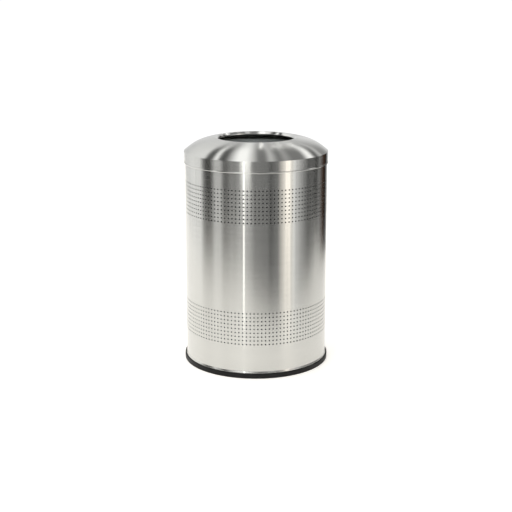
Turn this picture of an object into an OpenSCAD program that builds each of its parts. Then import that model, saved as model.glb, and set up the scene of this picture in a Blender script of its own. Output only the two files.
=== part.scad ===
// Open-top waste bin: a brushed steel drum on a black base trim, under a domed
// lift-off lid with a round mouth, with a galvanised lift-out liner inside.
// The origin is on the floor at the drum's centre, with +Z up and the front towards -Y.

/* [Drum] */
// Outer diameter of the drum
body_d = 457; // [420:1:500]
// Height of the drum's rolled rim above the floor
body_top = 690; // [520:1:760]
// Thickness of the stainless sheet of drum and lid
sheet = 1; // [0.8:0.1:1.4]
// Outer diameter of the inward roll on the drum's top edge
rim_roll_d = 8; // [6:0.5:10]
// How far the foot of the drum flares outward
foot_flare = 2; // [1:0.25:3]
// Height of the flare above the base trim
flare_h = 7; // [6:1:18]

/* [Perforation] */
// Diameter of the punched holes
hole_d = 4.75; // [3:0.25:5]
// Number of hole columns round the drum, the unpunched seam column included
columns = 120; // [90:1:124]
// Rows in each of the two punched bands
rows = 9; // [5:1:11]
// Distance between rows
row_pitch = 12.5; // [10:0.25:14]
// Height of the lower band's lowest row
lower_row = 110; // [80:1:140]
// Height of the upper band's lowest row
upper_row = 497; // [380:1:500]
// How far the upper band's columns are turned against the lower band's, as a share of their spacing
band_turn = 0.28; // [0:0.02:0.4]
// Turn of the unpunched seam from the drum's back, in degrees
seam_turn = -1.1; // [-3:0.1:3]
// How far the edges of a band's narrow flats, one for each column, lie inside the true round
flat_inset = 0.25; // [0.25:0.05:0.5]

/* [Base trim] */
// Height of the trim above the floor
trim_h = 16; // [10:0.5:20]
// Thickness of the trim's outer leg
trim_outer_leg = 4.1; // [2:0.1:5]
// Thickness of the trim's inner leg
trim_inner_leg = 2.5; // [2:0.1:5]
// Thickness of the trim under the drum's edge
trim_floor = 3; // [2:0.25:5]
// Radius of the trim's rounded edges
trim_round = 1; // [0.5:0.1:1]

/* [Base pan] */
// Thickness of the pan's sheet
pan_sheet = 1.2; // [1:0.1:2]
// Height of the pan's upturned flange
pan_flange_h = 15; // [10:1:30]
// Radius of the bend between pan and flange
pan_bend_r = 4; // [3:0.5:6]
// Height of the pressed rib that keeps the liner in the middle
rib_h = 5; // [3:0.5:8]
// Width of the pressed rib
rib_w = 12; // [8:1:16]

/* [Lid] */
// Play between the drum and the inside of the lid's skirt
lid_play = 1.3; // [0.8:0.1:2]
// Play where the lid's shoulder rests on the rolled rim
seat_play = 0.3; // [0.2:0.05:0.5]
// Height of the skirt, from its lower edge to the crease
skirt_h = 37; // [25:1:60]
// Height of the hem bead at the skirt's lower edge
hem_h = 4.6; // [3:0.2:6]
// How far the hem bead stands out from the skirt
hem_proud = 1.4; // [0.8:0.1:2]
// Rise of the dome from the crease to its mouth edge
dome_rise = 43.1; // [37:0.1:50]
// Slope of the dome where it leaves the crease, in degrees
shoulder_angle = 38.4; // [33:0.2:44]
// Slope of the dome at its mouth edge, in degrees
crown_angle = 9.5; // [5:0.5:12]
// Share of the dome's width that keeps to the shoulder's slope
shoulder_pull = 0.375; // [0.3:0.005:0.45]
// Share of the dome's width that keeps to the crown's slope
crown_pull = 0.605; // [0.5:0.005:0.65]

/* [Mouth collar] */
// Clear diameter of the mouth
mouth_d = 240; // [200:1:262]
// Thickness of the collar's sheet
collar_sheet = 1.2; // [1:0.1:1.6]
// Outer radius of the bend that turns the collar down into the mouth
collar_bend_r = 9.5; // [6:0.5:14]
// Height of the straight lip below that bend
collar_lip_h = 1; // [1:0.5:10]

/* [Liner] */
// Space between the drum's wall and the liner's
liner_gap = 19.5; // [18.5:0.5:45]
// Thickness of the liner's sheet
liner_sheet = 0.8; // [0.6:0.1:1.2]
// How far the liner's rim stands above the drum's rim, under the dome
liner_rise = 5.5; // [-10:0.5:6]
// Play between the liner's foot and the base pan
liner_seat_play = 0.3; // [0.2:0.05:0.5]
// Diameter of the wire inside the liner's rolled rim
rim_wire_d = 5; // [3:0.5:6]
// Play between that wire and the sheet rolled round it
rim_wire_play = 0.05; // [0.02:0.01:0.1]
// Height of the liner's base above the foot of its wall
liner_recess = 9; // [6:1:20]

/* [Liner handles] */
// Diameter of the handle wire
handle_wire_d = 6; // [5:0.5:7]
// Play between the wire and its knuckle, on the radius
pivot_play = 0.08; // [0.05:0.01:0.1]
// Distance between the handle's two legs
grip_w = 80; // [70:1:90]
// Length of the handle below its pivot
grip_drop = 52; // [44:1:60]
// Radius of the handle's bends, to the middle of the wire
bend_r = 8; // [7:0.5:12]
// Depth of the pivot below the liner's rim
pivot_drop = 45.5; // [28:0.5:60]
// Distance of the pivot from the plate
pivot_standoff = 15; // [14.5:0.5:18]
// Outer diameter of the knuckles
knuckle_d = 12; // [11:0.5:13]
// Length of each knuckle
knuckle_l = 10; // [8:0.5:12]
// Gap between a knuckle and what lies beside it on the wire
knuckle_gap = 0.6; // [0.4:0.1:1]
// Diameter of the peened head on each end of the wire
peen_d = 9; // [8:0.5:9]
// Thickness of that peened head
peen_t = 1.5; // [1:0.1:2]
// Thickness of the plate that carries the knuckles
plate_t = 1.5; // [1:0.1:2]
// Height of the plate
plate_h = 28; // [24:1:34]
// Width of plate beyond the outer end of each knuckle
plate_margin = 6; // [4:0.5:10]
// Diameter of the rivet shanks
rivet_d = 4; // [3:0.5:5]
// Diameter of the rivet heads
rivet_head_d = 9; // [7:0.5:10]
// Thickness of the rivet heads
rivet_head_t = 1.6; // [1:0.1:2]
// Distance between a plate's two rivets
rivet_span = 44; // [30:1:60]

/* [Hidden] */
$fn = 96;

// Number of straight steps in a small arc, in a roll and in the dome's curve
arc_steps = 6;
roll_steps = 24;
dome_steps = 24;

steel = [0.78, 0.79, 0.76];
polished = [0.86, 0.86, 0.85];
zinc = [0.62, 0.64, 0.64];
vinyl = [0.12, 0.12, 0.12];

body_r = body_d / 2;
drum_inner_r = body_r - sheet;
roll_r = rim_roll_d / 2;
roll_centre = [body_r - roll_r, body_top - roll_r];
foot_r = body_r + foot_flare;
foot_top = trim_h + flare_h;

column_step = 360 / columns;
seam_angle = 90 + seam_turn;
band_margin = row_pitch;
band_h = (rows - 1) * row_pitch + 2 * band_margin;
// Distance of each column's flat from the drum's axis
flat_r = body_r * cos(column_step / 2) - flat_inset;

liner_r = drum_inner_r - liner_gap;
liner_inner_r = liner_r - liner_sheet;
liner_foot = foot_top + pan_sheet + liner_seat_play;
liner_top = body_top + liner_rise;
wire_roll_r = rim_wire_d / 2 + rim_wire_play + liner_sheet;
wire_centre = [liner_inner_r + wire_roll_r, liner_top - wire_roll_r];
// The rib's inner foot stands just outside the liner's foot
rib_r = liner_r + rib_w / 2;

skirt_inner_r = body_r + lid_play;
skirt_r = skirt_inner_r + sheet;
// The dome's underside lies against the outer quarter of the rolled rim
crease = [skirt_r, roll_centre[1] + (roll_r + seat_play + sheet
    + sin(shoulder_angle) * (roll_centre[0] - skirt_r)) / cos(shoulder_angle)];
skirt_bottom = crease[1] - skirt_h;
mouth_r = mouth_d / 2;
// The collar continues the dome's slope where the two meet
dome_edge = [mouth_r + collar_bend_r * (1 + sin(crown_angle)), crease[1] + dome_rise];
dome_w = crease[0] - dome_edge[0];
collar_centre = dome_edge - collar_bend_r * [sin(crown_angle), cos(crown_angle)];
collar_bottom = collar_centre[1] - collar_lip_h;

plate_inner_r = liner_inner_r - plate_t;
pivot_x = plate_inner_r - pivot_standoff;
pivot_z = liner_top - pivot_drop;
knuckle_y = grip_w / 2 + bend_r + knuckle_gap;
wire_end_y = knuckle_y + knuckle_l + knuckle_gap + peen_t;
plate_half_angle = asin((knuckle_y + knuckle_l + plate_margin) / plate_inner_r);
rivet_angle = asin(rivet_span / 2 / plate_inner_r);
rivet_z = pivot_z;

// Points along an arc of n steps, angles in degrees
function arc(centre, r, from, to, n) =
    [for (i = [0 : n]) let (a = from + (to - from) * i / n) centre + r * [cos(a), sin(a)]];

function reversed(points) = [for (i = [len(points) - 1 : -1 : 0]) points[i]];

// The smooth step that the flare and the rib follow, from 1 down to 0
function ease(t) = (1 + cos(180 * t)) / 2;

// The dome's outer curve, from the crease to the mouth edge, and its direction
dome_knots = [
    crease,
    crease + shoulder_pull * dome_w * [-cos(shoulder_angle), sin(shoulder_angle)],
    dome_edge + crown_pull * dome_w * [cos(crown_angle), -sin(crown_angle)],
    dome_edge
];
function curve_point(k, t) =
    pow(1 - t, 3) * k[0] + 3 * pow(1 - t, 2) * t * k[1] + 3 * (1 - t) * t * t * k[2] + pow(t, 3) * k[3];
function curve_way(k, t) =
    pow(1 - t, 2) * (k[1] - k[0]) + 2 * (1 - t) * t * (k[2] - k[1]) + t * t * (k[3] - k[2]);
function inward(way) = [-way[1], way[0]] / norm(way);
dome_outer = [for (i = [0 : dome_steps]) curve_point(dome_knots, i / dome_steps)];
dome_inner = [for (i = [0 : dome_steps]) let (t = i / dome_steps)
    curve_point(dome_knots, t) + sheet * inward(curve_way(dome_knots, t))];

module turned(points) {
    rotate_extrude() polygon(points);
}

// Soft black edging, a U-section pushed over the drum's lower edge
module base_trim() {
    outer = foot_r + trim_outer_leg;
    inner = foot_r - sheet - trim_inner_leg;
    top_r = trim_round;
    color(vinyl) turned(concat(
        arc([outer - top_r, top_r], top_r, -90, 0, arc_steps),
        arc([outer - top_r, trim_h - top_r], top_r, 0, 90, arc_steps),
        [[foot_r, trim_h], [foot_r, trim_floor], [foot_r - sheet, trim_floor], [foot_r - sheet, trim_h]],
        arc([inner + top_r, trim_h - top_r], top_r, 90, 180, arc_steps),
        arc([inner + top_r, top_r], top_r, 180, 270, arc_steps)
    ));
}

// Pressed sheet floor: a shallow dish with a rib round the liner's foot
function rib_rise(r) = abs(r - rib_r) < rib_w / 2 ? rib_h * ease(abs(r - rib_r) * 2 / rib_w) : 0;
module base_pan() {
    bend_centre = [drum_inner_r - pan_bend_r, foot_top + pan_bend_r];
    rib_steps = 2 * arc_steps;
    rib = [for (i = [0 : rib_steps]) let (r = rib_r + rib_w * (i / rib_steps - 0.5)) [r, foot_top + rib_rise(r)]];
    color(zinc) turned(concat(
        [[0, foot_top]],
        rib,
        arc(bend_centre, pan_bend_r, -90, 0, arc_steps),
        [[drum_inner_r, foot_top + pan_flange_h], [drum_inner_r - pan_sheet, foot_top + pan_flange_h]],
        arc(bend_centre, pan_bend_r - pan_sheet, 0, -90, arc_steps),
        [for (p = reversed(rib)) p + [0, pan_sheet]],
        [[0, foot_top + pan_sheet]]
    ));
}

// The drum's wall where it is truly round, between two heights
module round_wall(from, to) {
    turned([[drum_inner_r, from], [body_r, from], [body_r, to], [drum_inner_r, to]]);
}

// Outline with one flat for each column of holes
module flats(r) {
    polygon([for (i = [0 : columns - 1]) let (a = seam_angle + (i + 0.5) * column_step)
        r / cos(column_step / 2) * [cos(a), sin(a)]]);
}

// One punched band, with the seam's column left whole
module punched_band(first_row, turn) {
    sideways = turn * column_step / 180 * PI * body_r;
    translate([0, 0, first_row - band_margin]) difference() {
        linear_extrude(band_h) difference() {
            flats(flat_r);
            flats(flat_r - sheet);
        }
        for (i = [1 : columns - 1], row = [0 : rows - 1])
            rotate(seam_angle + i * column_step)
                translate([flat_r - 2 * sheet, sideways, band_margin + row * row_pitch])
                    rotate([0, 90, 0]) cylinder(d = hole_d, h = 3 * sheet);
    }
}

// Rolled and welded drum: a flared foot, a wall with two punched bands and a rim rolled inward
module body_shell() {
    flare = [for (i = [0 : arc_steps]) let (t = i / arc_steps) [body_r + foot_flare * ease(t), trim_h + flare_h * t]];
    lower_from = lower_row - band_margin;
    upper_from = upper_row - band_margin;
    color(steel) {
        turned(concat(
            [[foot_r, trim_floor]],
            flare,
            [[body_r, lower_from], [drum_inner_r, lower_from]],
            [for (p = reversed(flare)) p - [sheet, 0]],
            [[foot_r - sheet, trim_floor]]
        ));
        punched_band(lower_row, -band_turn / 2);
        round_wall(lower_from + band_h, upper_from);
        punched_band(upper_row, band_turn / 2);
        turned(concat(
            [[body_r, upper_from + band_h]],
            arc(roll_centre, roll_r, 0, 270, roll_steps),
            arc(roll_centre, roll_r - sheet, 270, 0, roll_steps),
            [[drum_inner_r, upper_from + band_h]]
        ));
    }
}

// Spun lid: a dome, a creased shoulder and a straight skirt that ends in a hem bead
module lid_dome() {
    hem = [for (i = [0 : 2 * arc_steps]) let (a = -90 + 90 * i / arc_steps)
        [skirt_r + hem_proud * cos(a), skirt_bottom + hem_h / 2 * (1 + sin(a))]];
    inner_crease_z = crease[1] - sheet * cos(shoulder_angle)
        + sheet * (1 - sin(shoulder_angle)) * tan(shoulder_angle);
    color(steel) turned(concat(
        [[skirt_inner_r, skirt_bottom]],
        hem,
        dome_outer,
        [for (p = reversed(dome_inner)) if (p[0] < skirt_inner_r - sheet / 4) p],
        [[skirt_inner_r, inner_crease_z]]
    ));
}

// Polished collar: a ring welded flush into the dome's mouth and bent down into a short lip
module mouth_collar() {
    lip_r = collar_sheet / 2;
    weld_angle = 90 - crown_angle;
    color(polished) turned(concat(
        arc(collar_centre, collar_bend_r, weld_angle, 180, roll_steps / 2),
        arc([mouth_r + lip_r, collar_bottom + lip_r], lip_r, 180, 360, arc_steps),
        arc(collar_centre, collar_bend_r - collar_sheet, 180, weld_angle, roll_steps / 2)
    ));
}

// Straight galvanised wall with its rim rolled outward round a wire
module liner_wall() {
    roll_end = -120;
    color(zinc) difference() {
        turned(concat(
            [[liner_inner_r, liner_foot]],
            arc(wire_centre, wire_roll_r, 180, roll_end, roll_steps),
            arc(wire_centre, wire_roll_r - liner_sheet, roll_end, 180, roll_steps),
            [[liner_r, liner_foot]]
        ));
        at_rivets() rivet_shank(rivet_d);
    }
}

// Disc with a flange turned down inside the wall's foot
module liner_base() {
    top = liner_foot + liner_recess;
    color(zinc) turned([
        [0, top - liner_sheet], [liner_inner_r - liner_sheet, top - liner_sheet],
        [liner_inner_r - liner_sheet, liner_foot], [liner_inner_r, liner_foot], [liner_inner_r, top], [0, top]
    ]);
}

module liner_rim_wire() {
    color(zinc) rotate_extrude() translate(wire_centre) circle(d = rim_wire_d);
}

// Places its children once at each rivet, with +X along the rivet, towards the wall
module at_rivets() {
    for (side = [0, 180], turn = [-1, 1])
        rotate(side + turn * rivet_angle) translate([0, 0, rivet_z]) children();
}

// From the plate's inner face to past the liner's outer face
module rivet_shank(d) {
    translate([plate_inner_r - rivet_head_t, 0, 0]) rotate([0, 90, 0])
        cylinder(d = d, h = liner_r - plate_inner_r + 2 * rivet_head_t);
}

// Sheet plate that follows the liner's wall, with two knuckles for the handle's ends
module handle_plate() {
    color(zinc) difference() {
        union() {
            rotate(-plate_half_angle) rotate_extrude(angle = 2 * plate_half_angle)
                translate([plate_inner_r, pivot_z - plate_h / 2]) square([plate_t, plate_h]);
            intersection() {
                for (side = [-1, 1]) translate([pivot_x, side * (knuckle_y + knuckle_l / 2), pivot_z]) {
                    rotate([90, 0, 0]) cylinder(d = knuckle_d, h = knuckle_l, center = true);
                    translate([0, -knuckle_l / 2, -knuckle_d / 4]) cube([liner_r, knuckle_l, knuckle_d / 2]);
                }
                translate([0, 0, pivot_z - plate_h / 2]) cylinder(r = plate_inner_r + plate_t / 2, h = plate_h);
            }
        }
        translate([pivot_x, 0, pivot_z]) rotate([90, 0, 0])
            cylinder(r = handle_wire_d / 2 + pivot_play, h = 2 * wire_end_y, center = true);
        for (turn = [-1, 1]) rotate(turn * rivet_angle) translate([0, 0, rivet_z]) rivet_shank(rivet_d);
    }
}

module right_handle_plate() {
    handle_plate();
}

module left_handle_plate() {
    rotate(180) handle_plate();
}

// Four rivets, each headed inside the plate and outside the liner's wall
module handle_rivets() {
    head_r = rivet_head_d / 2;
    seat = plate_inner_r - sqrt(pow(plate_inner_r, 2) - pow(head_r, 2));
    color(polished) at_rivets() {
        translate([plate_inner_r - seat, 0, 0]) rotate([0, 90, 0])
            cylinder(d = rivet_d, h = liner_r - plate_inner_r + seat);
        translate([plate_inner_r - seat, 0, 0]) rotate([0, -90, 0])
            cylinder(r1 = head_r, r2 = head_r * 2 / 3, h = rivet_head_t);
        translate([liner_r, 0, 0]) rotate([0, 90, 0]) cylinder(r1 = head_r, r2 = head_r * 2 / 3, h = rivet_head_t);
    }
}

// Quarter bend of the handle wire in the YZ plane, about the X axis
module wire_bend(from) {
    rotate([0, 90, 0]) rotate(from) rotate_extrude(angle = 90) translate([bend_r, 0]) circle(d = handle_wire_d);
}

// Bent wire: a grip, two legs, and two ends turned outward through the knuckles
module drop_handle() {
    leg_y = grip_w / 2;
    end_l = wire_end_y - leg_y - bend_r;
    color(polished) translate([pivot_x, 0, pivot_z]) {
        translate([0, 0, -grip_drop]) rotate([90, 0, 0])
            cylinder(d = handle_wire_d, h = grip_w - 2 * bend_r, center = true);
        for (side = [0, 1]) mirror([0, side, 0]) {
            translate([0, leg_y - bend_r, -grip_drop + bend_r]) wire_bend(0);
            translate([0, leg_y, -grip_drop + bend_r]) cylinder(d = handle_wire_d, h = grip_drop - 2 * bend_r);
            translate([0, leg_y + bend_r, -bend_r]) wire_bend(180);
            translate([0, leg_y + bend_r, 0]) rotate([-90, 0, 0]) cylinder(d = handle_wire_d, h = end_l);
            translate([0, wire_end_y - peen_t, 0]) rotate([-90, 0, 0]) cylinder(d = peen_d, h = peen_t);
        }
    }
}

module right_handle() {
    drop_handle();
}

module left_handle() {
    rotate(180) drop_handle();
}

base_trim();
base_pan();
body_shell();
lid_dome();
mouth_collar();
liner_wall();
liner_base();
liner_rim_wire();
right_handle_plate();
left_handle_plate();
handle_rivets();
right_handle();
left_handle();
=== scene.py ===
"""Open-top waste bin: a punched stainless drum on black edging, a spun lid with a round mouth and, inside,
a zinc-coated liner with two drop handles."""
import math

import bmesh
import bpy
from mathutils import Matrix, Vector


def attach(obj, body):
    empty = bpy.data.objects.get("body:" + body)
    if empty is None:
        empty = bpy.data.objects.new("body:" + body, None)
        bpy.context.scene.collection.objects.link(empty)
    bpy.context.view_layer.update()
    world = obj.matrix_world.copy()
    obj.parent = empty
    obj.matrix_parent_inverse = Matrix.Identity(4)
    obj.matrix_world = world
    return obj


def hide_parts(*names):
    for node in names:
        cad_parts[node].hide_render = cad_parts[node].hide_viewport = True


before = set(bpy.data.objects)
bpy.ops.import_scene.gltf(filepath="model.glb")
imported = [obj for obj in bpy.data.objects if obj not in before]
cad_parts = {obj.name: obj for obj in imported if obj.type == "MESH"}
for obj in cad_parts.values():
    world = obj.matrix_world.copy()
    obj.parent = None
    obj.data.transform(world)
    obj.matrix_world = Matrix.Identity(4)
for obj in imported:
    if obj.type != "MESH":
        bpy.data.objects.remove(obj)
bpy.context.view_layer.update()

# The camera: a long lens a little above the bin's mouth, looking slightly down at its middle. It is lowered
# in its frame rather than tilted further, as a view camera is, to keep the drum's sides upright.
mm = 0.001
camera_distance = 3514 * mm
camera_height = 1236.8 * mm
camera_pitch = math.radians(12.506)
camera_lens = 77.87
camera_sensor = 36
frame_shift = -0.07
camera = bpy.data.objects.new("Camera", bpy.data.cameras.new("Camera"))
camera.location = (0, -camera_distance, camera_height)
camera.rotation_euler = (math.pi / 2 - camera_pitch, 0, 0)
camera.data.lens = camera_lens
camera.data.sensor_width = camera_sensor
camera.data.shift_y = frame_shift
bpy.context.scene.collection.objects.link(camera)
bpy.context.scene.camera = camera
bpy.context.scene.view_settings.view_transform = "Standard"

# The light table: a white acrylic sheet under the bin, lit from within, that the lower half of the steel
# mirrors. It glows less towards the right. Its edge lies nearer there, and beyond it the steel turns dark.
table_edge = [
    (-1.75, 0.60, 0), (-1.62, -0.43, 0), (-1.14, -1.08, 0), (-0.64, -1.43, 0),
    (0.00, -1.07, 0), (0.44, -0.78, 0), (1.16, -0.28, 0), (1.71, 0.49, 0),
    (1.20, 0.95, 0), (0.65, 1.45, 0), (0.65, 4.00, 0), (-1.75, 4.00, 0)
]
table_glow = 0.62
right_glow = 0.75 * table_glow
glow_falls_from = 0.1
glow_falls_to = 0.9


def linear(colour):
    """An sRGB colour, as six hex digits, turned to linear RGBA."""
    channels = [int(colour[i:i + 2], 16) / 255 for i in (0, 2, 4)]
    return [c / 12.92 if c <= 0.04045 else ((c + 0.055) / 1.055) ** 2.4 for c in channels] + [1]


def add_node(tree, kind, inputs=None, **settings):
    """Adds a node to a tree, with its settings, and feeds its inputs from values or from other sockets."""
    node = tree.nodes.new(kind)
    for name, value in settings.items():
        setattr(node, name, value)
    for key, value in (inputs or {}).items():
        if isinstance(value, bpy.types.NodeSocket):
            tree.links.new(value, node.inputs[key])
        else:
            node.inputs[key].default_value = value
    return node


def new_material(name, colour, metallic, roughness, **sockets):
    """A material with a Principled shader, and its object coordinates for the patterns to start from."""
    material = bpy.data.materials.new(name)
    material.use_nodes = True
    tree = material.node_tree
    shader = tree.nodes["Principled BSDF"]
    shader.inputs["Base Color"].default_value = linear(colour)
    shader.inputs["Metallic"].default_value = metallic
    shader.inputs["Roughness"].default_value = roughness
    for socket, value in sockets.items():
        shader.inputs[socket.replace("_", " ")].default_value = value
    place = add_node(tree, "ShaderNodeTexCoord").outputs["Object"]
    return material, tree, shader, place


light_table = bpy.data.objects.new("Light_table", bpy.data.meshes.new("Light_table"))
light_table.data.from_pydata(table_edge, [], [range(len(table_edge))])
bpy.context.scene.collection.objects.link(light_table)
white_acrylic, tree, shader, place = new_material("White acrylic", "f4f4f2", 0, 0.6)
shader.inputs["Emission Color"].default_value = linear("fffaf3")
rightward = add_node(tree, "ShaderNodeSeparateXYZ", {0: place}).outputs["X"]
glow = add_node(tree, "ShaderNodeMapRange", {
    "Value": rightward, "From Min": glow_falls_from, "From Max": glow_falls_to,
    "To Min": table_glow, "To Max": right_glow})
tree.links.new(glow.outputs[0], shader.inputs["Emission Strength"])
light_table.data.materials.append(white_acrylic)

# The room round the table: upright flats, dark and pale, and a fan of overhead flats that meet behind the
# bin. Each is a plain card of one of ten stock tones. Only the steel's reflections see them, and the camera
# sees white. Each flat runs from one bearing to another, in degrees, with the camera at bearing 0.
cards = {
    "white": "fafafa", "pale": "d8d8d8", "light": "b6b6b6", "middle": "949494", "grey": "727272",
    "dark": "505050", "charcoal": "2e2e2e", "black": "0c0c0c", "cream": "f6f0e8", "brown": "3c2c24"
}
upright_flats = [
    (-177, -150, "light"), (-125, -101, "pale"), (-92, -92, "grey"), (-86, -77, "charcoal"),
    (-67, -60, "light"), (-52, -47, "dark"), (-40, -33, "grey"), (-25, -10, "middle"), (0, 16, "grey"),
    (24, 24, "dark"), (35, 35, "grey"), (48, 56, "cream"), (64, 64, "pale"), (78, 78, "middle"),
    (91, 104, "dark"), (112, 112, "charcoal"), (121, 121, "grey"), (136, 136, "brown"), (149, 149, "black"),
    (166, 166, "light")
]
overhead_flats = [
    (-150, -48, "pale"), (-44, -39, "dark"), (-35, -35, "white"), (-31, -26, "dark"),
    (-15.5, -8.5, "white"), (2, 8, "grey"), (12, 13, "light"), (19, 21, "grey"), (25, 27, "middle"),
    (32, 43, "grey"), (49, 52, "white"), (56.5, 60, "charcoal"), (64, 65, "light"), (69, 73, "black")
]
crown_tone = linear(cards["light"])
# The flats' lighting is uneven by this much, and is set so that the steel gives them back in their own tones
unevenness = 0.15
steel_reflectance = 0.6
backdrop_glow = 1.05
# Heights and depths as parts of a unit sphere round the bin: where the upright flats darken at their feet and
# give way to the fan at their tops, where the fan meets, and where it turns into the even tone of its crown
feet = (-0.24, -0.17)
feet_shade = 0.75
tops = (0.2, 0.4)
fan_meets = 0.97
crown = (0.55, 0.95)
crown_strength = 0.8


def calculate(tree, operation, *values):
    """The output of a math node that works on up to three values or sockets."""
    return add_node(tree, "ShaderNodeMath", dict(enumerate(values)), operation=operation).outputs[0]


def ring_of_flats(tree, bearing, flats):
    """Flats side by side round a ring, with soft gaps between them."""
    turn = calculate(tree, "DIVIDE", calculate(tree, "ADD", bearing, math.pi), 2 * math.pi)
    ramp = add_node(tree, "ShaderNodeValToRGB", {0: turn})
    stops = ramp.color_ramp.elements
    while len(stops) > 1:
        stops.remove(stops[-1])
    stops[0].position = 0
    stops[0].color = linear(cards[flats[0][2]])
    for start, end, card in flats:
        for edge in {start, end}:
            stops.new((edge + 180) / 360).color = linear(cards[card])
    return ramp.outputs["Color"]


world = bpy.data.worlds.new("Studio")
world.use_nodes = True
bpy.context.scene.world = world
room = world.node_tree
room.nodes.clear()
outward = add_node(room, "ShaderNodeTexCoord").outputs["Generated"]
way = add_node(room, "ShaderNodeSeparateXYZ", {0: outward}).outputs
bearing = calculate(room, "ARCTAN2", way["X"], calculate(room, "MULTIPLY", way["Y"], -1))
upright = ring_of_flats(room, bearing, upright_flats)
uneven = add_node(room, "ShaderNodeTexNoise", {"W": bearing, "Scale": 14, "Detail": 3}, noise_dimensions="1D")
shade = add_node(room, "ShaderNodeMapRange", {
    "Value": uneven.outputs[0], "From Min": 0.3, "From Max": 0.7,
    "To Min": 1 - unevenness, "To Max": 1 + unevenness})
rise = add_node(room, "ShaderNodeMapRange", {
    "Value": way["Z"], "From Min": feet[0], "From Max": feet[1], "To Min": feet_shade})
shade = calculate(room, "MULTIPLY", shade.outputs[0], rise.outputs[0])
upright = add_node(room, "ShaderNodeVectorMath", {0: upright, "Scale": shade}, operation="SCALE").outputs[0]
fan_depth = calculate(room, "SUBTRACT", fan_meets, way["Y"])
overhead = ring_of_flats(room, calculate(room, "ARCTAN2", way["X"], fan_depth), overhead_flats)
crown_share = add_node(room, "ShaderNodeMapRange", {
    "Value": way["Y"], "From Min": crown[0], "From Max": crown[1], "To Max": crown_strength})
overhead = add_node(room, "ShaderNodeMix", {
    "Factor": crown_share.outputs[0], "A": overhead, "B": crown_tone}, data_type="RGBA").outputs["Result"]
overhead_share = add_node(room, "ShaderNodeMapRange", {
    "Value": way["Z"], "From Min": tops[0], "From Max": tops[1]})
surroundings = add_node(room, "ShaderNodeMix", {
    "Factor": overhead_share.outputs[0], "A": upright, "B": overhead}, data_type="RGBA").outputs["Result"]
reflected = add_node(room, "ShaderNodeBackground", {
    "Color": surroundings, "Strength": 1 / steel_reflectance})
backdrop = add_node(room, "ShaderNodeBackground", {"Color": linear("ffffff"), "Strength": backdrop_glow})
shown = add_node(room, "ShaderNodeMixShader", {
    0: add_node(room, "ShaderNodeLightPath").outputs["Is Camera Ray"],
    1: reflected.outputs[0], 2: backdrop.outputs[0]})
add_node(room, "ShaderNodeOutputWorld", {"Surface": shown.outputs[0]})

# The lamps: a narrow strip that stands before the bin and draws the bright line down the steel, with a
# broader head for the skirt, and a warm softbox on the right. Three tubes hang high behind and draw the
# streaks by the mouth, and a round lamp in the mouth lights the liner.
lamps = {
    # Place, aim, size, power in watts and colour
    "Strip_lamp": ((-0.285, -0.933, 0.31), (-0.035, -0.226, 0.31), (0.03, 0.62), 0.107, "fffefb"),
    "Strip_head": ((-0.242, -0.947, 0.68), (-0.035, -0.226, 0.68), (0.28, 0.28), 0.4, "fffefb"),
    "Right_softbox": ((1.62, -1.42, 0.55), (0, 0, 0.55), (0.25, 0.9), 0.46, "fff4ea"),
    "Left_tube": ((0.09, 2.5, 2.8), (0.09, 0, 2.8), (0.04, 1.2), 0.42, "fffefb"),
    "Middle_tube": ((0.36, 2.5, 2.8), (0.36, 0, 2.8), (0.04, 1.2), 0.42, "fffefb"),
    "Right_tube": ((0.6, 2.5, 2.8), (0.6, 0, 2.8), (0.04, 1.2), 0.42, "fffefb"),
    "Mouth_lamp": ((0.03, 0, 0.712), (0.03, 0, 0), (0.16, 0.16), 0.3, "fffefb")
}
for name, (place, aim, size, power, colour) in lamps.items():
    lamp = bpy.data.objects.new(name, bpy.data.lights.new(name, "AREA"))
    lamp.data.shape = "ELLIPSE" if size[0] == size[1] else "RECTANGLE"
    lamp.data.size, lamp.data.size_y = size
    lamp.data.energy = power
    lamp.data.color = linear(colour)[:3]
    lamp.location = place
    lamp.rotation_euler = Vector([b - a for a, b in zip(place, aim)]).to_track_quat("-Z", "Y").to_euler()
    lamp.visible_camera = False
    bpy.context.scene.collection.objects.link(lamp)

# The black edging round the drum's foot: a U-section of soft vinyl, pushed over the sheet's lower edge.
# It keeps the sheet off the floor, and its underside is the ring that the bin stands on.
drum_r = 228.5 * mm
sheet = 1 * mm
foot_flare = 2 * mm
foot_r = drum_r + foot_flare
edging_h = 16 * mm
edging_floor = 3 * mm
edging_outer_leg = 4.1 * mm
edging_inner_leg = 2.5 * mm
edging_outer_r = foot_r + edging_outer_leg
edging_inner_r = foot_r - sheet - edging_inner_leg
edging_round = 1 * mm


def arc(centre, radius, start, end, steps):
    """Points of (radius, height) along an arc, with its angles in degrees."""
    turns = [math.radians(start + (end - start) * i / steps) for i in range(steps + 1)]
    return [(centre[0] + radius * math.cos(a), centre[1] + radius * math.sin(a)) for a in turns]


def turned(name, outline, body, node, material, sides=240):
    """A closed outline of (radius, height) points turned about the bin's axis, in place of a CAD node."""
    mesh = bmesh.new()
    rings = []
    for radius, height in outline:
        if radius < 1e-6:
            rings.append([mesh.verts.new((0, 0, height))] * sides)
        else:
            turns = [2 * math.pi * i / sides for i in range(sides)]
            rings.append([
                mesh.verts.new((radius * math.cos(a), radius * math.sin(a), height)) for a in turns])
    for ring, following in zip(rings, rings[1:] + rings[:1]):
        for i in range(sides):
            j = (i + 1) % sides
            corners = list(dict.fromkeys([ring[i], ring[j], following[j], following[i]]))
            if len(corners) > 2:
                mesh.faces.new(corners)
    bmesh.ops.recalc_face_normals(mesh, faces=mesh.faces)
    piece = bpy.data.objects.new(name, bpy.data.meshes.new(name))
    mesh.to_mesh(piece.data)
    mesh.free()
    piece.data.shade_smooth()
    piece.data.set_sharp_from_angle(angle=math.radians(30))
    piece.data.materials.append(material)
    bpy.context.scene.collection.objects.link(piece)
    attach(piece, body)
    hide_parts(node)


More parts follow.
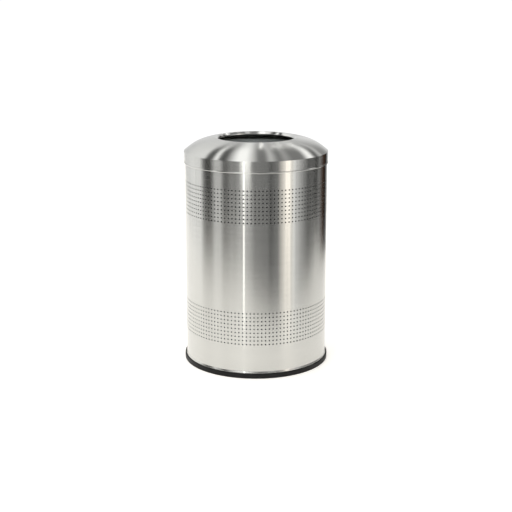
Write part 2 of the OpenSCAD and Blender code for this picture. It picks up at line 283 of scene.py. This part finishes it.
# Extruded soft vinyl: near black and satin, with a faint orange-peel skin of 1 mm that softens its highlights
black_vinyl, tree, shader, place = new_material(
    "Extruded black vinyl", "131212", 0, 0.55, Specular_IOR_Level=0.25)
skin = add_node(tree, "ShaderNodeTexNoise", {"Vector": place, "Scale": 1 / mm, "Detail": 1})
peel = add_node(tree, "ShaderNodeBump", {"Strength": 0.3, "Distance": 0.05 * mm, "Height": skin.outputs[0]})
tree.links.new(peel.outputs[0], shader.inputs["Normal"])
scuffs = add_node(tree, "ShaderNodeTexNoise", {"Vector": place, "Scale": 1 / (25 * mm), "Detail": 4})
scuffed = add_node(tree, "ShaderNodeMapRange", {"Value": scuffs.outputs[0], "From Min": 0.4, "From Max": 0.7,
                                                "To Min": 0.5, "To Max": 0.65})
tree.links.new(scuffed.outputs[0], shader.inputs["Roughness"])
turned("Black_edging", (
    arc((edging_outer_r - edging_round, edging_round), edging_round, -90, 0, 8)
    + arc((edging_outer_r - edging_round, edging_h - edging_round), edging_round, 0, 90, 8)
    + [(foot_r, edging_h), (foot_r, edging_floor), (foot_r - sheet, edging_floor), (foot_r - sheet, edging_h)]
    + arc((edging_inner_r + edging_round, edging_h - edging_round), edging_round, 90, 180, 8)
    + arc((edging_inner_r + edging_round, edging_round), edging_round, 180, 270, 8)
), "drum", "base_trim", black_vinyl)

# The drum's floor: a shallow dish pressed from galvanised sheet, with its flange spot-welded inside the
# drum's foot. A rib pressed up round it keeps the liner in the middle.
pan_sheet = 1.2 * mm
pan_z = 23 * mm
pan_flange_h = 15 * mm
pan_bend_r = 4 * mm
rib_r = 214 * mm
rib_w = 12 * mm
rib_h = 5 * mm
rib_steps = 24
drum_inner_r = drum_r - sheet


def galvanised(name, colour, roughness, spangle):
    """Hot-dipped zinc on sheet steel: dull silver grey, in crystals that differ slightly, its spangle."""
    material, tree, shader, place = new_material(name, colour, 1, roughness)
    crystals = add_node(tree, "ShaderNodeTexVoronoi", {
        "Vector": place, "Scale": 1 / spangle, "Randomness": 1})
    crystal = add_node(tree, "ShaderNodeSeparateXYZ", {0: crystals.outputs["Color"]}).outputs["X"]
    cloud = add_node(tree, "ShaderNodeTexNoise", {
        "Vector": place, "Scale": 1 / (8 * spangle), "Detail": 3}).outputs[0]
    tone = add_node(tree, "ShaderNodeMapRange", {
        "Value": calculate(tree, "MULTIPLY_ADD", cloud, 0.8, crystal),
        "From Max": 1.8, "To Min": 0.78, "To Max": 1.14})
    tinted = add_node(tree, "ShaderNodeVectorMath", {
        0: linear(colour)[:3], "Scale": tone.outputs[0]}, operation="SCALE")
    tree.links.new(tinted.outputs[0], shader.inputs["Base Color"])
    rough = add_node(tree, "ShaderNodeMapRange", {
        "Value": crystal, "To Min": roughness - 0.08, "To Max": roughness + 0.1})
    tree.links.new(rough.outputs[0], shader.inputs["Roughness"])
    return material


galvanised_pan = galvanised("Galvanised pan", "a9adad", 0.45, 9 * mm)
rib = []
for i in range(rib_steps + 1):
    from_middle = math.pi * abs(i - rib_steps / 2) / (rib_steps / 2)
    rib.append((rib_r + rib_w * (i / rib_steps - 0.5), pan_z + rib_h * (1 + math.cos(from_middle)) / 2))
pan_bend = (drum_inner_r - pan_bend_r, pan_z + pan_bend_r)
turned("Drum_floor", (
    [(0, pan_z)] + rib + arc(pan_bend, pan_bend_r, -90, 0, 8)
    + [(drum_inner_r, pan_z + pan_flange_h), (drum_inner_r - pan_sheet, pan_z + pan_flange_h)]
    + arc(pan_bend, pan_bend_r - pan_sheet, 0, -90, 8)
    + [(radius, height + pan_sheet) for radius, height in reversed(rib)] + [(0, pan_z + pan_sheet)]
), "drum", "base_pan", galvanised_pan)

# The drum: a stainless sheet, punched flat with two bands of round holes, then rolled round, welded down
# the back and curled. Its foot flares into the edging, and its rim is rolled inward to carry the lid.
drum_top = 690 * mm
flare_top = 23 * mm
rim_roll_r = 4 * mm
hole_d = 4.75 * mm
hole_columns = 120
hole_rows = 9
hole_sides = 12
row_pitch = 12.5 * mm
lower_row = 110 * mm
upper_row = 497 * mm
# The upper band stands this part of a column further round than the lower one
band_turn = 0.28
seam_angle = math.radians(90 - 1.1)
merge_distance = 0.01 * mm

blank = bpy.data.node_groups.new("Punched and rolled sheet", "GeometryNodeTree")
blank.interface.new_socket("Geometry", in_out="OUTPUT", socket_type="NodeSocketGeometry")
blank_sizes = {
    "Radius": drum_r, "Hole diameter": hole_d, "Row pitch": row_pitch, "Lower row": lower_row,
    "Upper row": upper_row, "Band turn": band_turn, "Seam angle": seam_angle, "Foot height": edging_floor,
    "Flare": foot_flare, "Flare start": edging_h, "Flare end": flare_top, "Roll radius": rim_roll_r,
    "Roll height": drum_top - rim_roll_r
}
blank_counts = {"Columns": hole_columns, "Rows": hole_rows, "Hole sides": hole_sides}
for name in blank_sizes:
    blank.interface.new_socket(name, in_out="INPUT", socket_type="NodeSocketFloat")
for name in blank_counts:
    blank.interface.new_socket(name, in_out="INPUT", socket_type="NodeSocketInt")
blank.interface.new_socket("Steel", in_out="INPUT", socket_type="NodeSocketMaterial")
size = add_node(blank, "NodeGroupInput").outputs
column_angle = calculate(blank, "DIVIDE", 2 * math.pi, size["Columns"])
column_w = calculate(blank, "MULTIPLY", size["Radius"], column_angle)
band_h = calculate(blank, "MULTIPLY", size["Rows"], size["Row pitch"])
half_pitch = calculate(blank, "MULTIPLY", size["Row pitch"], 0.5)
lower_from = calculate(blank, "SUBTRACT", size["Lower row"], half_pitch)
lower_to = calculate(blank, "ADD", lower_from, band_h)
upper_from = calculate(blank, "SUBTRACT", size["Upper row"], half_pitch)
upper_to = calculate(blank, "ADD", upper_from, band_h)
roll_end = calculate(blank, "MULTIPLY_ADD", size["Roll radius"], 1.5 * math.pi, size["Roll height"])


def plain_strip(bottom, top, columns, rows):
    """A plain stretch of the flat blank, divided into columns, of which the first is centred on the seam."""
    stretch = calculate(blank, "SUBTRACT", top, bottom)
    grid = add_node(blank, "GeometryNodeMeshGrid", {
        "Size X": calculate(blank, "MULTIPLY", column_w, columns), "Size Y": stretch,
        "Vertices X": calculate(blank, "ADD", columns, 1), "Vertices Y": calculate(blank, "ADD", rows, 1)})
    middle = calculate(blank, "MULTIPLY", calculate(blank, "MULTIPLY_ADD", columns, 0.5, -0.5), column_w)
    centre = add_node(blank, "ShaderNodeCombineXYZ", {
        "X": middle, "Y": calculate(blank, "MULTIPLY_ADD", stretch, 0.5, bottom)})
    return add_node(blank, "GeometryNodeTransform", {
        "Geometry": grid.outputs[0], "Translation": centre.outputs[0]}).outputs[0]


def punched_strip(first_row):
    """One band of the blank, a cell of sheet to each hole, with the seam's column left out."""
    border = add_node(blank, "GeometryNodeCurvePrimitiveQuadrilateral", {
        "Width": column_w, "Height": size["Row pitch"]})
    hole = add_node(blank, "GeometryNodeCurvePrimitiveCircle", {
        "Resolution": size["Hole sides"], "Radius": calculate(blank, "MULTIPLY", size["Hole diameter"], 0.5)})
    outlines = add_node(blank, "GeometryNodeJoinGeometry")
    blank.links.new(hole.outputs[0], outlines.inputs[0])
    blank.links.new(border.outputs[0], outlines.inputs[0])
    cell = add_node(blank, "GeometryNodeFillCurve", {"Curve": outlines.outputs[0]})
    last_row_h = calculate(blank, "SUBTRACT", band_h, size["Row pitch"])
    centres = add_node(blank, "GeometryNodeMeshGrid", {
        "Size X": calculate(blank, "MULTIPLY", column_w, calculate(blank, "SUBTRACT", size["Columns"], 2)),
        "Size Y": last_row_h,
        "Vertices X": calculate(blank, "SUBTRACT", size["Columns"], 1), "Vertices Y": size["Rows"]})
    middle = add_node(blank, "ShaderNodeCombineXYZ", {
        "X": calculate(blank, "MULTIPLY", column_w, calculate(blank, "MULTIPLY", size["Columns"], 0.5)),
        "Y": calculate(blank, "MULTIPLY_ADD", last_row_h, 0.5, first_row)})
    placed = add_node(blank, "GeometryNodeTransform", {
        "Geometry": centres.outputs[0], "Translation": middle.outputs[0]})
    return add_node(blank, "GeometryNodeInstanceOnPoints", {
        "Points": placed.outputs[0], "Instance": cell.outputs[0]}).outputs[0]


strips = add_node(blank, "GeometryNodeJoinGeometry")
for strip in (
    plain_strip(size["Foot height"], size["Flare start"], size["Columns"], 1),
    plain_strip(size["Flare start"], size["Flare end"], size["Columns"], 10),
    plain_strip(size["Flare end"], lower_from, size["Columns"], 2),
    plain_strip(lower_from, lower_to, 1, size["Rows"]),
    punched_strip(size["Lower row"]),
    plain_strip(lower_to, upper_from, size["Columns"], 8),
    plain_strip(upper_from, upper_to, 1, size["Rows"]),
    punched_strip(size["Upper row"]),
    plain_strip(upper_to, size["Roll height"], size["Columns"], 2),
    plain_strip(size["Roll height"], roll_end, size["Columns"], 24)
):
    blank.links.new(strip, strips.inputs[0])
whole = add_node(blank, "GeometryNodeRealizeInstances", {"Geometry": strips.outputs[0]})
flat = add_node(blank, "GeometryNodeMergeByDistance", {
    "Geometry": whole.outputs[0], "Distance": merge_distance})
position = add_node(blank, "GeometryNodeInputPosition").outputs[0]
on_blank = add_node(blank, "ShaderNodeSeparateXYZ", {0: position}).outputs
along, up = on_blank["X"], on_blank["Y"]
mapped = add_node(blank, "GeometryNodeStoreNamedAttribute", {
    "Geometry": flat.outputs[0], "Name": "UVMap"}, data_type="FLOAT2", domain="CORNER")
unrolled = add_node(blank, "ShaderNodeCombineXYZ", {"X": along, "Y": up})
blank.links.new(unrolled.outputs[0], mapped.inputs["Value"])
slip = add_node(blank, "ShaderNodeMapRange", {
    "Value": up, "From Min": lower_to, "From Max": upper_from,
    "To Min": calculate(blank, "MULTIPLY", size["Band turn"], -0.5),
    "To Max": calculate(blank, "MULTIPLY", size["Band turn"], 0.5)}).outputs[0]
columns_along = calculate(blank, "ADD", calculate(blank, "DIVIDE", along, column_w), slip)
angle = calculate(blank, "MULTIPLY_ADD", columns_along, column_angle, size["Seam angle"])
flare_share = add_node(blank, "ShaderNodeMapRange", {
    "Value": up, "From Min": size["Flare start"], "From Max": size["Flare end"],
    "To Max": math.pi}).outputs[0]
flared = calculate(blank, "MULTIPLY_ADD", calculate(blank, "COSINE", flare_share), 0.5, 0.5)
curl = calculate(blank, "DIVIDE", calculate(blank, "SUBTRACT", up, size["Roll height"]), size["Roll radius"])
curl = calculate(blank, "MAXIMUM", curl, 0)
curl_centre = calculate(blank, "SUBTRACT", size["Radius"], size["Roll radius"])
wall_r = calculate(blank, "MULTIPLY_ADD", calculate(blank, "COSINE", curl), size["Roll radius"], curl_centre)
wall_r = calculate(blank, "MULTIPLY_ADD", flared, size["Flare"], wall_r)
wall_z = calculate(blank, "MULTIPLY_ADD", calculate(blank, "SINE", curl), size["Roll radius"],
                   calculate(blank, "MINIMUM", up, size["Roll height"]))
rolled_place = add_node(blank, "ShaderNodeCombineXYZ", {
    "X": calculate(blank, "MULTIPLY", wall_r, calculate(blank, "COSINE", angle)),
    "Y": calculate(blank, "MULTIPLY", wall_r, calculate(blank, "SINE", angle)), "Z": wall_z})
rolled = add_node(blank, "GeometryNodeSetPosition", {
    "Geometry": mapped.outputs[0], "Position": rolled_place.outputs[0]})
welded = add_node(blank, "GeometryNodeMergeByDistance", {
    "Geometry": rolled.outputs[0], "Distance": merge_distance})
single = add_node(blank, "GeometryNodeRealizeInstances", {"Geometry": welded.outputs[0]})
finished = add_node(blank, "GeometryNodeSetMaterial", {
    "Geometry": single.outputs[0], "Material": size["Steel"]})
add_node(blank, "NodeGroupOutput", {"Geometry": finished.outputs[0]})


def brushed(name, colour, roughness):
    """Stainless steel with a fine grain that runs round the bin. The grain spreads reflections up and down
    and keeps them sharp sideways. It is drawn 1 mm wide, coarser than the real one, so that it shows."""
    material, tree, shader, place = new_material(
        name, colour, 1, roughness, Anisotropic=1, Anisotropic_Rotation=0.25)
    round_the_bin = add_node(tree, "ShaderNodeTangent", direction_type="RADIAL", axis="Z").outputs[0]
    tree.links.new(round_the_bin, shader.inputs["Tangent"])
    across = add_node(tree, "ShaderNodeSeparateXYZ", {0: place}).outputs
    radius = calculate(tree, "SQRT", calculate(tree, "ADD", calculate(tree, "POWER", across["X"], 2),
                                               calculate(tree, "POWER", across["Y"], 2)))
    grain_w = 1 * mm
    grain_length = 90 * mm
    track = calculate(tree, "DIVIDE", calculate(tree, "SUBTRACT", across["Z"], radius), grain_w)
    lane = add_node(tree, "ShaderNodeCombineXYZ", {
        "X": calculate(tree, "MULTIPLY", across["X"], 1 / grain_length),
        "Y": calculate(tree, "MULTIPLY", across["Y"], 1 / grain_length), "Z": track})
    scratches = add_node(tree, "ShaderNodeTexNoise", {
        "Vector": lane.outputs[0], "Scale": 1, "Detail": 3, "Roughness": 0.6})
    tone = add_node(tree, "ShaderNodeMapRange", {
        "Value": scratches.outputs[0], "From Min": 0.3, "From Max": 0.7, "To Min": 0.95, "To Max": 1.05})
    tinted = add_node(tree, "ShaderNodeVectorMath", {
        0: linear(colour)[:3], "Scale": tone.outputs[0]}, operation="SCALE")
    tree.links.new(tinted.outputs[0], shader.inputs["Base Color"])
    rough = add_node(tree, "ShaderNodeMapRange", {
        "Value": scratches.outputs[0], "From Min": 0.3, "From Max": 0.7,
        "To Min": roughness * 0.92, "To Max": roughness * 1.08})
    tree.links.new(rough.outputs[0], shader.inputs["Roughness"])
    return material


brushed_drum = brushed("Brushed stainless drum", "cbcbc7", 0.17)
drum = bpy.data.objects.new("Drum", bpy.data.meshes.new("Drum"))
bpy.context.scene.collection.objects.link(drum)
rolling = drum.modifiers.new("Punched and rolled sheet", "NODES")
rolling.node_group = blank
sockets = {
    socket.name: socket.identifier for socket in blank.interface.items_tree if socket.in_out == "INPUT"}
for name, value in {**blank_sizes, **blank_counts, "Steel": brushed_drum}.items():
    rolling[sockets[name]] = value
gauge = drum.modifiers.new("Sheet", "SOLIDIFY")
gauge.thickness = sheet
gauge.offset = -1
bpy.context.view_layer.update()
rolled_mesh = bpy.data.meshes.new_from_object(drum.evaluated_get(bpy.context.evaluated_depsgraph_get()))
drum.modifiers.clear()
drum.data = rolled_mesh
drum.data.name = "Drum"
drum.data.shade_smooth()
drum.data.set_sharp_from_angle(angle=math.radians(35))
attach(drum, "drum")
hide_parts("body_shell")

# The lid: a dome spun from stainless sheet, creased into a straight skirt that ends in a hem bead.
# It drops over the drum, and its shoulder rests on the drum's rolled rim.
skirt_r = 230.8 * mm
skirt_bottom = 650.77 * mm
hem_h = 4.6 * mm
hem_proud = 1.4 * mm
crease = (skirt_r, 687.77 * mm)
dome_edge = (131.068 * mm, 730.87 * mm)
shoulder_angle = math.radians(38.4)
crown_angle = math.radians(9.5)
shoulder_pull = 0.375 * (crease[0] - dome_edge[0])
crown_pull = 0.605 * (crease[0] - dome_edge[0])
dome_steps = 48
dome_pulls = [
    crease,
    (crease[0] - shoulder_pull * math.cos(shoulder_angle),
     crease[1] + shoulder_pull * math.sin(shoulder_angle)),
    (dome_edge[0] + crown_pull * math.cos(crown_angle), dome_edge[1] - crown_pull * math.sin(crown_angle)),
    dome_edge
]


def walled(path, thickness):
    """The closed outline of a sheet whose outer side follows a path, with its thickness on the left of it."""
    inner = []
    for i, (radius, height) in enumerate(path):
        before, after = path[max(i - 1, 0)], path[min(i + 1, len(path) - 1)]
        out, rise = after[0] - before[0], after[1] - before[1]
        step = math.hypot(out, rise)
        inner.append((radius - thickness * rise / step, height + thickness * out / step))
    return path + inner[::-1]


dome = []
for i in range(dome_steps + 1):
    t = i / dome_steps
    weights = ((1 - t) ** 3, 3 * t * (1 - t) ** 2, 3 * t ** 2 * (1 - t), t ** 3)
    dome.append(tuple(sum(w * pull[axis] for w, pull in zip(weights, dome_pulls)) for axis in (0, 1)))
hem = []
for turn in range(-90, 90, 15):
    a = math.radians(turn)
    hem.append((skirt_r + hem_proud * math.cos(a), skirt_bottom + hem_h / 2 * (1 + math.sin(a))))
outer_side = [(skirt_r, skirt_bottom + hem_h)] + dome
brushed_lid = brushed("Spun stainless lid", "cbcbc7", 0.18)
turned("Lid", (
    hem + walled(outer_side, sheet) + [(skirt_r - sheet, skirt_bottom)]
), "lid", "lid_dome", brushed_lid, sides=256)

# The collar: a ring of polished stainless sheet, welded flush into the dome's mouth and ground smooth.
# It bends down into a short lip, which keeps hands and bags off the sheet's cut edge.
mouth_r = 120 * mm
collar_bend_r = 9.5 * mm
collar_sheet = 1.2 * mm
collar_lip = 1 * mm
collar_centre = (mouth_r + collar_bend_r, dome_edge[1] - collar_bend_r * math.cos(crown_angle))
collar_bottom = collar_centre[1] - collar_lip
weld_angle = 90 - math.degrees(crown_angle)
# Polished stainless is a near mirror, and slight waves left by the bending break up what it reflects
polished_steel, tree, shader, place = new_material("Polished stainless collar", "d6d6d3", 1, 0.09)
waves = add_node(tree, "ShaderNodeTexNoise", {"Vector": place, "Scale": 1 / (28 * mm), "Detail": 1})
wavy = add_node(tree, "ShaderNodeBump", {"Strength": 0.8, "Distance": 1.5 * mm, "Height": waves.outputs[0]})
tree.links.new(wavy.outputs[0], shader.inputs["Normal"])
turned("Mouth_collar", (
    arc(collar_centre, collar_bend_r, weld_angle, 180, 20)
    + arc((mouth_r + collar_sheet / 2, collar_bottom + collar_sheet / 2), collar_sheet / 2, 180, 360, 8)
    + arc(collar_centre, collar_bend_r - collar_sheet, 180, weld_angle, 20)
), "lid", "mouth_collar", polished_steel, sides=256)

# The liner's wall: galvanised sheet rolled into a plain can, with its rim curled outward round a wire.
# It stands on the drum's floor and lifts out by its two drop handles once the lid is off.
liner_r = 208 * mm
liner_sheet = 0.8 * mm
liner_foot = 24.5 * mm
wire_centre = (210.55 * mm, 692.15 * mm)
wire_roll_r = 3.35 * mm
galvanised_liner = galvanised("Galvanised liner", "9ea2a2", 0.42, 7 * mm)
turned("Liner_wall", (
    [(liner_r - liner_sheet, liner_foot)] + arc(wire_centre, wire_roll_r, 180, -120, 30)
    + arc(wire_centre, wire_roll_r - liner_sheet, -120, 180, 30) + [(liner_r, liner_foot)]
), "liner", "liner_wall", galvanised_liner)

# The liner's bottom: a disc of the same galvanised sheet, pressed up inside the can's foot, with its flange
# turned down and seamed to the wall. It is shown as the CAD has it.


def coated(node, material):
    """Gives a CAD node that is shown as it is a material in place of its plain one."""
    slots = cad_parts[node].data.materials
    slots.clear()
    slots.append(material)


coated("liner_base", galvanised_liner)

# The liner's rim wire: a ring of drawn steel wire with a bright zinc plating, that the wall's rim is curled
# round. It stiffens the can's mouth. The plating gives a soft shine, duller in some places than in others.
bright_wire, tree, shader, place = new_material("Zinc-plated wire", "bfc3c5", 1, 0.24)
draw_marks = add_node(tree, "ShaderNodeTexNoise", {"Vector": place, "Scale": 1 / (3 * mm), "Detail": 3})
dulled = add_node(tree, "ShaderNodeMapRange", {
    "Value": draw_marks.outputs[0], "From Min": 0.35, "From Max": 0.65, "To Min": 0.18, "To Max": 0.34})
tree.links.new(dulled.outputs[0], shader.inputs["Roughness"])
coated("liner_rim_wire", bright_wire)

# The handle plates: a plate of galvanised sheet inside the liner's wall on either side. Knuckles pressed into
# it hold the ends of a handle, which turns in them.
coated("right_handle_plate", galvanised_liner)
coated("left_handle_plate", galvanised_liner)

# The rivets: four of zinc-plated steel, two to a plate.
# Each is set through the plate and the liner's wall.
coated("handle_rivets", bright_wire)

# The drop handles: one bent from zinc-plated steel wire on either side, to lift the liner out by.
# Each hangs against the liner's wall, and swings inward and up in its plate's knuckles.
coated("right_handle", bright_wire)
coated("left_handle", bright_wire)
